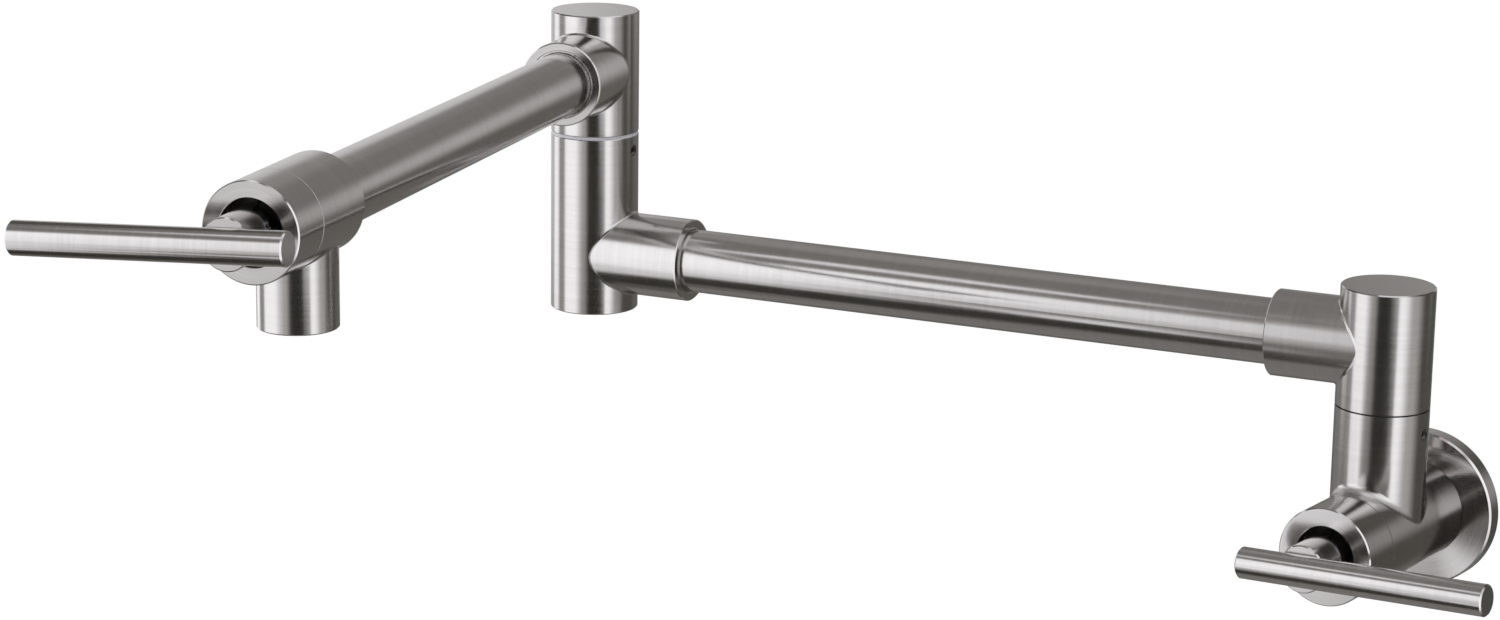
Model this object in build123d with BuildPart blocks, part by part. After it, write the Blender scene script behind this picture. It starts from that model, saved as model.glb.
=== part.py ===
from build123d import *
import os
from math import cos, radians, sin

os.makedirs("parts", exist_ok=True)

# A wall mounted pot filler: two swinging arms in line with a stop valve at the wall and a second
# one at the spout. Millimetres. The origin is the centre of the inlet where it meets the wall,
# +Y goes into the wall, +Z is up, and the arms stand at rest where the photograph shows them.

# ---- Driving dimensions ---------------------------------------------------------------------

# Clearances
fit_gap = 0.03          # pieces that are screwed, pressed or brazed together
running_gap = 0.05      # round pieces that turn in each other
washer_gap = 0.1        # above the washer that a swivel turns on

# Round bodies
column_r = 16.0
wall_body_extra = 0.9   # the wall valve body is this much larger in radius than its column
spout_body_r = 15.9
spout_r = 12.65
tube_r = 11.4
tube_wall = 1.2
edge_bevel = 0.4
seam_bevel = 0.15       # on both sides of the seam between a valve's cap and its body

# Arms
column_standoff = 39.5  # from the wall to the first swivel's axis
inner_arm_length = 300.0
inner_arm_angle = 189.4
outer_arm_length = 259.0
outer_arm_angle = 286.6

# Heights
wall_column_height = 44.025
wall_seam = 0.35
head_height = 41.3
arm_above_head = 20.6
elbow_below_arm = 21.4
elbow_above_arm = 43.6
elbow_washer_thick = 1.1
outer_head_height = 44.1
outer_arm_above_head = 22.6
spout_length = 36.0

# Sockets that hold the arm tubes
inner_socket_wall = 3.5  # around the tube
outer_socket_wall = 3.65
wall_end_reach = 38.5   # each reach is from the column's axis to the socket's mouth
elbow_end_reach = 40.2
outer_reach = 35.5
socket_depth = 15.0
socket_mouth = 0.9

# Swivel spigots
swivel_wall = 4.7       # of the column, around the spigot
spigot_length = 24.0
spigot_end_gap = 1.0
spigot_shoulder = 0.7   # the screwed end is this much larger in radius
spigot_thread_length = 12.0
spigot_wall = 4.8
head_bore_step = 2.0    # the head's bore is this much narrower than the spigot's thread
elbow_bore_step = 3.3   # and the sleeve's below the spigot, than the spigot
bore_past_arm = 0.9     # the water bores run this far past the arm tube's bore
swivel_oring_depths = (13.0, 19.0)
wall_washer_rim = 1.9   # of the column, around the washer
wall_washer_recess = 1.0
washer_bore_gap = 0.25

# Rubber rings
oring_section = 1.8
oring_groove_width = 2.4

# Grub screws
grub_r = 2.0
grub_recess = 0.9
grub_tip_gap = 0.7      # above the bottom of the spigot's groove
grub_tip_r = 1.3
grub_tip_length = 1.4
grub_socket_flats = 2.0
grub_socket_depth = 2.0
grub_groove_width = 3.2
grub_groove_depth = 1.5
wall_grub_depth = 7.6
elbow_grub_depth = 5.2

# Valves: depths are measured back from the flat front of the valve cap
spout_cap_reach = 32.8  # from the spout's axis to the front of its cap
wall_cap_reach = 38.8   # from the first column's axis to the front of its cap
spout_body_back = 15.0
cap_length = 17.5
cap_wall = 4.0
cap_hole_gap = 2.4      # around the hub
nose_wall = 2.15
nose_depth = 7.5
cartridge_bore_r = 9.0
cartridge_wall = 1.1
cartridge_head_lip = 0.75
cartridge_shoulder = 18.0
cartridge_head_length = 3.0
cartridge_roof = 3.0
cartridge_end_gap = 0.5
chamber_gap = 1.9       # around the cartridge
chamber_start = 22.0
chamber_end = 34.0
seat_depth = 38.8
spout_seat_wall = 2.5
port_r = 5.5
nut_length = 6.0
nut_hole_gap = 0.7
nut_slot_width = 3.0
nut_slot_depth = 2.0
seal_thick = 2.0
seal_hole_r = 6.2
disc_gap = 0.3
fixed_disc_thick = 3.2
moving_disc_thick = 2.8
disc_port_ring_r = 5.0
disc_port_width = 3.6
disc_port_length = 8.0
carrier_thick = 2.2
tongue_width = 2.4
tongue_length = 13.0
tongue_depth = 1.2
stem_r = 4.5
stem_tip_r = 3.9
stem_step_in = 0.2      # behind the nut's front
stem_oring_depth = 19.0
stem_oring_section = 1.3
stem_groove_width = 1.7
window_length = 5.5
window_width = 8.0
window_depth = 27.5

# Handles
hub_r = 8.2
hub_out = 16.7
hub_nut_gap = 0.7
hub_web = 4.0           # between the hub's bore and the bar
hub_grub_out = 3.3
hub_grub_r = 1.5
hub_grub_recess = 0.87
hub_grub_angle = -157.0
hub_grub_flats = 1.5
hub_grub_socket_depth = 1.6
bar_r = 5.35
bar_out = 2.0           # how far the bar's centre lies in front of the hub's end
bar_short_end = 21.0
wall_bar_long_end = 66.9
spout_bar_long_end = 68.4
bar_bevel = 0.5
bar_tilt = 2.6
bar_screw_r = 2.0
bar_screw_head_r = 3.4
bar_screw_head_thick = 2.2
bar_screw_head_gap = 0.8
bar_screw_in_bar = 6.7
bar_screw_flats = 2.5
bar_screw_socket_depth = 1.3

# Wall end
inlet_thread_r = 9.3
inlet_thread_length = 15.0
bracket_r = 25.0
bracket_thick = 1.5
bracket_hole_spacing = 42.0
bracket_hole_r = 2.3
adapter_r = 13.3
adapter_length = 20.0
adapter_collar_r = 16.0
adapter_collar_thick = 2.0
adapter_hex_flats = 11.0
adapter_oring_depths = (8.5, 17.5)
lock_groove_depth_in = 0.9
lock_groove_width = 4.4
lock_screw_depth = 13.0
body_back_gap = 0.2
adapter_end_gap = 1.0
flange_r = 27.3
flange_rim = 6.3
flange_crown = 6.8
flange_bevel = 0.6
flange_wall = 1.5
flange_hole_gap = 0.08
flange_collar_wall = 2.9
flange_collar_back = 3.6
flange_oring_section = 1.6
flange_oring_depth = 5.2
weld_fillet = 3.0
passage_r = 5.0
passage_depth = 30.3    # behind the front of the wall valve's cap

# Spout end
spout_passage_r = 7.0
spout_thread_wall = 1.85
spout_bore_step = 1.3
aerator_thread_length = 12.0
aerator_length = 9.0
aerator_recess = 0.6
aerator_wall = 1.6
aerator_lip = 0.8
screen_thick = 1.5
screen_hole_r = 0.62
screen_hole_pitch = 1.9
aerator_washer_thick = 1.6
aerator_washer_width = 2.8

# ---- Places worked out from the driving dimensions ---------------------------------------------

UP = Vector(0, 0, 1)


def level(angle):
    """Unit vector that lies level at this plan angle, turned from +X towards +Y."""
    return Vector(cos(radians(angle)), sin(radians(angle)), 0)


def turning_plane(start, along):
    """Plane for the half outline of a turned piece: its X runs along the axis, its Y away from it."""
    away = Vector(1, 0, 0) if abs(along.Z) > 0.5 else UP
    return Plane(origin=start, x_dir=along, z_dir=along.cross(away))


def lift(point, height):
    """The same point in plan, at this height."""
    return Vector(point.X, point.Y, height)


def save(piece, node):
    """Name a finished piece and write it."""
    piece.part.label = node
    export_step(piece.part, f"parts/{node}.step")


wall_body_r = column_r + wall_body_extra
inner_socket_r = tube_r + inner_socket_wall
outer_socket_r = tube_r + outer_socket_wall
spigot_r = column_r - swivel_wall
spigot_thread_r = spigot_r + spigot_shoulder
swivel_bore_r = spigot_r - spigot_wall
head_bore_r = spigot_thread_r - head_bore_step
elbow_bore_r = spigot_r - elbow_bore_step
wall_washer_r = column_r - wall_washer_rim
aerator_r = spout_r - spout_thread_wall
spout_bore_r = aerator_r - spout_bore_step
inner_along = level(inner_arm_angle)
outer_along = level(outer_arm_angle)
wall_column = Vector(0, -column_standoff, 0)
elbow = wall_column + inner_along * inner_arm_length
outlet = elbow + outer_along * outer_arm_length

head_bottom = wall_column_height + wall_seam
inner_arm_z = head_bottom + arm_above_head
elbow_bottom = inner_arm_z - elbow_below_arm
elbow_top = inner_arm_z + elbow_above_arm
outer_head_bottom = elbow_top + elbow_washer_thick + washer_gap
outer_arm_z = outer_head_bottom + outer_arm_above_head
spout_bottom = outer_arm_z - spout_length

tube_bore_r = tube_r - tube_wall
bearing_r = spigot_r + running_gap
bearing_depth = spigot_length + spigot_end_gap
socket_bore_r = tube_r + fit_gap
bore_beyond_arm = tube_bore_r + bore_past_arm
grub_seat_r = grub_r + fit_gap
grub_length = column_r - grub_recess - spigot_r + grub_groove_depth - grub_tip_gap

cartridge_r = cartridge_bore_r + cartridge_wall
cartridge_head_r = cartridge_r + cartridge_head_lip
chamber_r = cartridge_r + chamber_gap
nose_r = cartridge_head_r + nose_wall
cap_hole_r = hub_r + cap_hole_gap
nut_hole_r = stem_r + nut_hole_gap
housing_front = cartridge_shoulder - cartridge_head_length
nut_front = housing_front - nut_length
hub_in = nut_front - hub_nut_gap
hub_bore_floor = hub_out + bar_out - bar_r - hub_web
stem_front_depth = nut_front + stem_step_in
stem_tip_out = hub_bore_floor - bar_screw_head_thick - bar_screw_head_gap

body_back = bracket_thick + adapter_collar_thick + body_back_gap
spout_tube_stop = seat_depth + spout_seat_wall
wall_cap_front = column_standoff + wall_cap_reach

# ---- Wall end: bracket, adapter and flange ------------------------------------------------------

inlet_profile = turning_plane(Vector(0, 0, 0), Vector(0, -1, 0))
inlet_axis = Axis((0, 0, 0), (0, -1, 0))

with BuildPart() as wall_bracket:
    with BuildSketch(Plane.XZ):
        Circle(bracket_r)
        Circle(adapter_r + fit_gap, mode=Mode.SUBTRACT)
        with GridLocations(bracket_hole_spacing, 0, 2, 1):
            Circle(bracket_hole_r, mode=Mode.SUBTRACT)
    extrude(amount=bracket_thick)
save(wall_bracket, "wall_bracket")

with BuildPart() as inlet_adapter:
    collar_front = bracket_thick + adapter_collar_thick
    with BuildSketch(inlet_profile):
        with BuildLine():
            Polyline(
                (0, inlet_thread_r),
                (0, adapter_r),
                (bracket_thick, adapter_r),
                (bracket_thick, adapter_collar_r),
                (collar_front, adapter_collar_r),
                (collar_front, adapter_r),
                (adapter_length - edge_bevel, adapter_r),
                (adapter_length, adapter_r - edge_bevel),
                (adapter_length, 0),
                (inlet_thread_length, 0),
                (inlet_thread_length, inlet_thread_r),
                close=True,
            )
        make_face()
    revolve(axis=inlet_axis)
    with BuildSketch(inlet_profile):
        with Locations(*[(depth, adapter_r) for depth in adapter_oring_depths]):
            Rectangle(oring_groove_width, 2 * oring_section)
        with Locations((lock_screw_depth, adapter_r)):
            Rectangle(lock_groove_width, 2 * lock_groove_depth_in)
    revolve(axis=inlet_axis, mode=Mode.SUBTRACT)
    with BuildSketch(Plane.XZ.offset(inlet_thread_length)):
        RegularPolygon(adapter_hex_flats / 2, 6, major_radius=False)
    extrude(amount=adapter_length - inlet_thread_length, mode=Mode.SUBTRACT)
save(inlet_adapter, "inlet_adapter")

with BuildPart() as inlet_orings:
    with BuildSketch(inlet_profile):
        ring_r = adapter_r - oring_section / 2
        with Locations(*[(depth, ring_r) for depth in adapter_oring_depths]):
            Circle(oring_section / 2)
    revolve(axis=inlet_axis)
save(inlet_orings, "inlet_orings")

flange_hole_r = wall_body_r + flange_hole_gap
flange_cavity_r = flange_r - flange_wall
flange_collar_r = wall_body_r + flange_collar_wall

with BuildPart() as wall_flange:
    with BuildSketch(inlet_profile):
        with BuildLine():
            Polyline(
                (0, flange_r),
                (flange_rim - flange_bevel, flange_r),
                (flange_rim, flange_r - flange_bevel),
                (flange_crown, flange_hole_r),
                (flange_collar_back, flange_hole_r),
                (flange_collar_back, flange_collar_r),
                (flange_crown - flange_wall, flange_collar_r),
                (flange_rim - flange_wall, flange_cavity_r),
                (0, flange_cavity_r),
                close=True,
            )
        make_face()
        with Locations((flange_oring_depth, flange_hole_r)):
            groove_height = 2 * (flange_oring_section + fit_gap)
            Rectangle(flange_oring_section + 2 * fit_gap, groove_height, mode=Mode.SUBTRACT)
    revolve(axis=inlet_axis)
save(wall_flange, "wall_flange")

with BuildPart() as flange_oring:
    with BuildSketch(inlet_profile):
        with Locations((flange_oring_depth, wall_body_r + fit_gap + flange_oring_section / 2)):
            Circle(flange_oring_section / 2)
    revolve(axis=inlet_axis)
save(flange_oring, "flange_oring")

# ---- The two valves: bodies, caps, cartridges and handles ---------------------------------------

# For each valve: the front centre of its cap, the way it faces, its body's radius, how deep the
# body reaches behind the cap's front, the angle of the handle's long end about the facing
# direction, counted from level right as seen from the front, and that end's length
spout_front = lift(outlet, outer_arm_z) + outer_along * spout_cap_reach
valves = {
    "wall": {
        "front": Vector(0, -wall_cap_front, 0),
        "facing": Vector(0, -1, 0),
        "body_r": wall_body_r,
        "back": wall_cap_front - body_back,
        "handle_angle": bar_tilt,
        "long_end": wall_bar_long_end,
    },
    "spout": {
        "front": spout_front,
        "facing": outer_along,
        "body_r": spout_body_r,
        "back": spout_cap_reach + spout_body_back,
        "handle_angle": 180 + bar_tilt,
        "long_end": spout_bar_long_end,
    },
}
for valve in valves.values():
    valve["profile"] = turning_plane(valve["front"], valve["facing"] * -1)
    valve["axis"] = Axis(valve["front"], valve["facing"] * -1)

# Bore common to both bodies, as depths behind the cap's front and radii: the nut's thread, the
# cartridge's shoulder, the chamber around its windows, and the seat with its port
cartridge_seat_r = cartridge_r + fit_gap
cartridge_bore = [
    (nose_depth, 0),
    (nose_depth, cartridge_head_r + fit_gap),
    (cartridge_shoulder, cartridge_head_r + fit_gap),
    (cartridge_shoulder, cartridge_seat_r),
    (chamber_start, cartridge_seat_r),
    (chamber_start, chamber_r),
    (chamber_end, chamber_r),
    (chamber_end, cartridge_seat_r),
    (seat_depth, cartridge_seat_r),
    (seat_depth, port_r),
]

with BuildPart() as wall_valve_body:
    valve = valves["wall"]
    socket_floor = wall_cap_front - adapter_length - adapter_end_gap
    with BuildSketch(Plane.XZ.offset(body_back)):
        Circle(wall_body_r)
    extrude(amount=valve["back"] - cap_length)
    with BuildSketch(Plane.XY):
        with Locations((0, -column_standoff)):
            Circle(column_r)
    extrude(amount=wall_column_height)
    saddle = wall_valve_body.edges().filter_by(GeomType.CIRCLE, reverse=True)
    saddle = saddle.filter_by(GeomType.LINE, reverse=True)
    fillet(saddle, weld_fillet)
    chamfer(wall_valve_body.edges().sort_by(Axis.Y)[0], seam_bevel)
    with BuildSketch(Plane.XZ.offset(wall_cap_front - cap_length)):
        Circle(nose_r - fit_gap)
    extrude(amount=cap_length - nose_depth)
    with BuildSketch(valve["profile"]):
        with BuildLine():
            Polyline(
                *cartridge_bore,
                (socket_floor, port_r),
                (socket_floor, adapter_r + fit_gap),
                (valve["back"], adapter_r + fit_gap),
                (valve["back"], 0),
                close=True,
            )
        make_face()
    revolve(axis=valve["axis"], mode=Mode.SUBTRACT)
    with BuildSketch(Plane.XY.offset(wall_column_height)):
        with Locations((0, -column_standoff)):
            Circle(bearing_r)
    extrude(amount=-bearing_depth, mode=Mode.SUBTRACT)
    with BuildSketch(Plane.XY.offset(wall_column_height)):
        with Locations((0, -column_standoff)):
            Circle(wall_washer_r + fit_gap)
    extrude(amount=-wall_washer_recess, mode=Mode.SUBTRACT)
    with BuildSketch(Plane.XY):
        with Locations((0, passage_depth - wall_cap_front)):
            Circle(passage_r)
    extrude(amount=wall_column_height - bearing_depth, mode=Mode.SUBTRACT)
    grub_height = wall_column_height - wall_grub_depth
    with BuildSketch(Plane(origin=lift(wall_column, grub_height), z_dir=(1, 0, 0))):
        Circle(grub_seat_r)
    extrude(amount=2 * column_r, both=True, mode=Mode.SUBTRACT)
    with BuildSketch(Plane(origin=(0, -lock_screw_depth, 0), z_dir=(0, 0, -1))):
        Circle(grub_seat_r)
    extrude(amount=2 * wall_body_r, mode=Mode.SUBTRACT)
save(wall_valve_body, "wall_valve_body")

with BuildPart() as spout_valve_body:
    valve = valves["spout"]
    with BuildSketch(valve["profile"]):
        with BuildLine():
            Polyline(
                (cap_length, 0),
                (cap_length, spout_body_r - seam_bevel),
                (cap_length + seam_bevel, spout_body_r),
                (valve["back"] - edge_bevel, spout_body_r),
                (valve["back"], spout_body_r - edge_bevel),
                (valve["back"], 0),
                close=True,
            )
        make_face()
        with BuildLine():
            Polyline(
                (nose_depth, 0),
                (nose_depth, nose_r - fit_gap),
                (cap_length, nose_r - fit_gap),
                (cap_length, 0),
                close=True,
            )
        make_face()
    revolve(axis=valve["axis"])
    with BuildSketch(valve["profile"]):
        with BuildLine():
            Polyline(
                *cartridge_bore,
                (spout_tube_stop, port_r),
                (spout_tube_stop, socket_bore_r),
                (valve["back"] - socket_mouth / 2, socket_bore_r),
                (valve["back"], socket_bore_r + socket_mouth / 2),
                (valve["back"], 0),
                close=True,
            )
        make_face()
    revolve(axis=valve["axis"], mode=Mode.SUBTRACT)
    with BuildSketch(Plane(origin=lift(outlet, outer_arm_z), z_dir=(0, 0, -1))):
        Circle(spout_passage_r)
    extrude(amount=2 * spout_body_r, mode=Mode.SUBTRACT)
save(spout_valve_body, "spout_valve_body")

for place, valve in valves.items():
    front = valve["front"]
    facing = valve["facing"]
    profile = valve["profile"]
    axis = valve["axis"]
    right = UP.cross(facing)

    with BuildPart() as valve_cap:
        with BuildSketch(profile):
            with BuildLine():
                Polyline(
                    (0, cap_hole_r + edge_bevel / 2),
                    (0, valve["body_r"] - edge_bevel),
                    (edge_bevel, valve["body_r"]),
                    (cap_length - seam_bevel, valve["body_r"]),
                    (cap_length, valve["body_r"] - seam_bevel),
                    (cap_length, nose_r),
                    (cap_wall, nose_r),
                    (cap_wall, cap_hole_r),
                    (edge_bevel / 2, cap_hole_r),
                    close=True,
                )
            make_face()
        revolve(axis=axis)
    save(valve_cap, f"{place}_valve_cap")

    # Cartridge: a housing that drops into the body and holds the two ceramic discs. The seal's
    # face is pressed on the seat, and the fixed disc lies on the seal
    seal_front = seat_depth - seal_thick
    fixed_front = seal_front - fixed_disc_thick
    moving_front = fixed_front - moving_disc_thick
    carrier_front = moving_front - carrier_thick
    roof_back = cartridge_shoulder + cartridge_roof

    with BuildPart() as cartridge_housing:
        with BuildSketch(profile):
            with BuildLine():
                Polyline(
                    (housing_front, stem_r + running_gap),
                    (housing_front, cartridge_head_r),
                    (cartridge_shoulder, cartridge_head_r),
                    (cartridge_shoulder, cartridge_r),
                    (seat_depth - cartridge_end_gap, cartridge_r),
                    (seat_depth - cartridge_end_gap, cartridge_bore_r),
                    (roof_back, cartridge_bore_r),
                    (roof_back, stem_r + running_gap),
                    close=True,
                )
            make_face()
        revolve(axis=axis)
        for turn in (45, 135):
            through = right.rotate(Axis((0, 0, 0), facing), turn)
            window = Plane(origin=front - facing * window_depth, x_dir=facing, z_dir=through)
            with BuildSketch(window):
                Rectangle(window_length, window_width)
            extrude(amount=2 * cartridge_r, both=True, mode=Mode.SUBTRACT)
    save(cartridge_housing, f"{place}_cartridge_housing")

    with BuildPart() as cartridge_nut:
        with BuildSketch(profile):
            with Locations(((nut_front + housing_front) / 2, (nut_hole_r + cartridge_head_r) / 2)):
                Rectangle(nut_length, cartridge_head_r - nut_hole_r)
        revolve(axis=axis)
        slot_plane = Plane(origin=front - facing * nut_front, x_dir=right, z_dir=facing)
        with BuildSketch(slot_plane):
            Rectangle(2 * cartridge_head_r, nut_slot_width)
            Rectangle(nut_slot_width, 2 * cartridge_head_r)
        extrude(amount=-nut_slot_depth, mode=Mode.SUBTRACT)
    save(cartridge_nut, f"{place}_cartridge_nut")

    with BuildPart() as cartridge_seal:
        seal_r = cartridge_bore_r - fit_gap
        with BuildSketch(profile):
            with Locations((seat_depth - seal_thick / 2, (seal_hole_r + seal_r) / 2)):
                Rectangle(seal_thick, seal_r - seal_hole_r)
        revolve(axis=axis)
    save(cartridge_seal, f"{place}_cartridge_seal")

    with BuildPart() as fixed_disc:
        disc_plane = Plane(origin=front - facing * fixed_front, x_dir=right, z_dir=facing * -1)
        with BuildSketch(disc_plane):
            Circle(cartridge_bore_r - fit_gap)
            with PolarLocations(disc_port_ring_r, 2):
                SlotOverall(disc_port_length, disc_port_width, rotation=90, mode=Mode.SUBTRACT)
        extrude(amount=fixed_disc_thick)
    save(fixed_disc, f"{place}_fixed_disc")

    # At rest the valve is shut, so the moving disc's ports stand a quarter turn from the fixed ones
    with BuildPart() as moving_disc:
        disc_plane = Plane(origin=front - facing * moving_front, x_dir=right, z_dir=facing * -1)
        with BuildSketch(disc_plane):
            Circle(cartridge_bore_r - disc_gap)
            with PolarLocations(disc_port_ring_r, 2, start_angle=90):
                SlotOverall(disc_port_length, disc_port_width, rotation=90, mode=Mode.SUBTRACT)
        extrude(amount=moving_disc_thick)
        with BuildSketch(disc_plane):
            Rectangle(tongue_length + 2 * fit_gap, tongue_width + 2 * fit_gap)
        extrude(amount=tongue_depth + fit_gap, mode=Mode.SUBTRACT)
    save(moving_disc, f"{place}_moving_disc")

    with BuildPart() as spindle:
        with BuildSketch(profile):
            with BuildLine():
                Polyline(
                    (-stem_tip_out, 0),
                    (-stem_tip_out, stem_tip_r - edge_bevel),
                    (edge_bevel - stem_tip_out, stem_tip_r),
                    (stem_front_depth, stem_tip_r),
                    (stem_front_depth, stem_r),
                    (carrier_front, stem_r),
                    (carrier_front, cartridge_bore_r - disc_gap),
                    (moving_front, cartridge_bore_r - disc_gap),
                    (moving_front, 0),
                    close=True,
                )
            make_face()
            with Locations((stem_oring_depth, stem_r)):
                Rectangle(stem_groove_width, 2 * stem_oring_section, mode=Mode.SUBTRACT)
        revolve(axis=axis)
        carrier_plane = Plane(origin=front - facing * moving_front, x_dir=right, z_dir=facing * -1)
        with BuildSketch(carrier_plane):
            with PolarLocations(disc_port_ring_r, 2, start_angle=90):
                SlotOverall(disc_port_length, disc_port_width, rotation=90)
            Circle(stem_r, mode=Mode.SUBTRACT)
        extrude(amount=-carrier_thick, mode=Mode.SUBTRACT)
        with BuildSketch(carrier_plane):
            Rectangle(tongue_length, tongue_width)
        extrude(amount=tongue_depth)
    save(spindle, f"{place}_spindle")

    with BuildPart() as spindle_oring:
        ring_r = stem_r + running_gap / 2 - stem_oring_section / 2
        with BuildSketch(profile):
            with Locations((stem_oring_depth, ring_r)):
                Circle(stem_oring_section / 2)
        revolve(axis=axis)
    save(spindle_oring, f"{place}_spindle_oring")

    # Handle: a round bar across the end of a hub that turns inside the cap's hole
    lengthwise = right.rotate(Axis((0, 0, 0), facing), valve["handle_angle"])
    grub_along = lengthwise.rotate(Axis((0, 0, 0), facing), hub_grub_angle)
    bar_centre = front + facing * (hub_out + bar_out)
    bar_plane = Plane(origin=bar_centre - lengthwise * bar_short_end, x_dir=facing, z_dir=lengthwise)
    bar_length = bar_short_end + valve["long_end"]
    hub_grub_plane = Plane(origin=front + facing * hub_grub_out, x_dir=facing, z_dir=grub_along)
    screw_plane = Plane(origin=front + facing * hub_bore_floor, x_dir=lengthwise, z_dir=facing)
    screw_shank = hub_out + bar_out - bar_r - hub_bore_floor + bar_screw_in_bar

    with BuildPart() as handle_hub:
        with BuildSketch(profile):
            with BuildLine():
                Polyline(
                    (hub_in, stem_tip_r + fit_gap),
                    (hub_in, hub_r - edge_bevel),
                    (hub_in - edge_bevel, hub_r),
                    (edge_bevel - hub_out, hub_r),
                    (-hub_out, hub_r - edge_bevel),
                    (-hub_out, 0),
                    (-hub_bore_floor, 0),
                    (-hub_bore_floor, stem_tip_r + fit_gap),
                    close=True,
                )
            make_face()
        revolve(axis=axis)
        with BuildSketch(bar_plane.offset(bar_short_end)):
            Circle(bar_r + fit_gap)
        extrude(amount=2 * hub_r, both=True, mode=Mode.SUBTRACT)
        with BuildSketch(hub_grub_plane):
            Circle(hub_grub_r + fit_gap)
        extrude(amount=2 * hub_r, mode=Mode.SUBTRACT)
        with BuildSketch(screw_plane):
            Circle(bar_screw_r + fit_gap)
        extrude(amount=2 * bar_r, mode=Mode.SUBTRACT)
    save(handle_hub, f"{place}_handle_hub")

    with BuildPart() as handle_bar:
        with BuildSketch(bar_plane):
            Circle(bar_r)
        extrude(amount=bar_length)
        chamfer(handle_bar.edges().filter_by(GeomType.CIRCLE), bar_bevel)
        with BuildSketch(screw_plane):
            Circle(bar_screw_r + fit_gap)
        extrude(amount=screw_shank + fit_gap, mode=Mode.SUBTRACT)
    save(handle_bar, f"{place}_handle_bar")

    with BuildPart() as bar_screw:
        with BuildSketch(screw_plane):
            Circle(bar_screw_head_r)
        extrude(amount=-bar_screw_head_thick)
        with BuildSketch(screw_plane):
            Circle(bar_screw_r)
        extrude(amount=screw_shank)
        with BuildSketch(screw_plane.offset(-bar_screw_head_thick)):
            RegularPolygon(bar_screw_flats / 2, 6, major_radius=False)
        extrude(amount=bar_screw_socket_depth, mode=Mode.SUBTRACT)
    save(bar_screw, f"{place}_bar_screw")

    with BuildPart() as hub_grub:
        hub_grub_outer = hub_grub_plane.offset(hub_r - hub_grub_recess)
        with BuildSketch(hub_grub_outer):
            Circle(hub_grub_r)
        extrude(amount=stem_tip_r + fit_gap + hub_grub_recess - hub_r)
        with BuildSketch(hub_grub_outer):
            RegularPolygon(hub_grub_flats / 2, 6, major_radius=False)
        extrude(amount=-hub_grub_socket_depth, mode=Mode.SUBTRACT)
    save(hub_grub, f"{place}_hub_grub")

# ---- Swivels: heads, spigots, rings, washers and grub screws ------------------------------------

# For each head: its column's place in plan, its own bottom and height, the arm's height and
# direction, and how deep the grub screws stand below the sleeve's top, which is at sleeve_top
heads = {
    "inner": {
        "foot": wall_column,
        "bottom": head_bottom,
        "top": head_bottom + head_height,
        "arm_z": inner_arm_z,
        "along": inner_along,
        "swivel": "wall",
        "sleeve_top": wall_column_height,
        "sleeve_grub_depth": wall_grub_depth,
        "grub_along": Vector(1, 0, 0),
    },
    "outer": {
        "foot": elbow,
        "bottom": outer_head_bottom,
        "top": outer_head_bottom + outer_head_height,
        "arm_z": outer_arm_z,
        "along": outer_along,
        "swivel": "elbow",
        "sleeve_top": elbow_top,
        "sleeve_grub_depth": elbow_grub_depth,
        "grub_along": inner_along * -1,
    },
}

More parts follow.
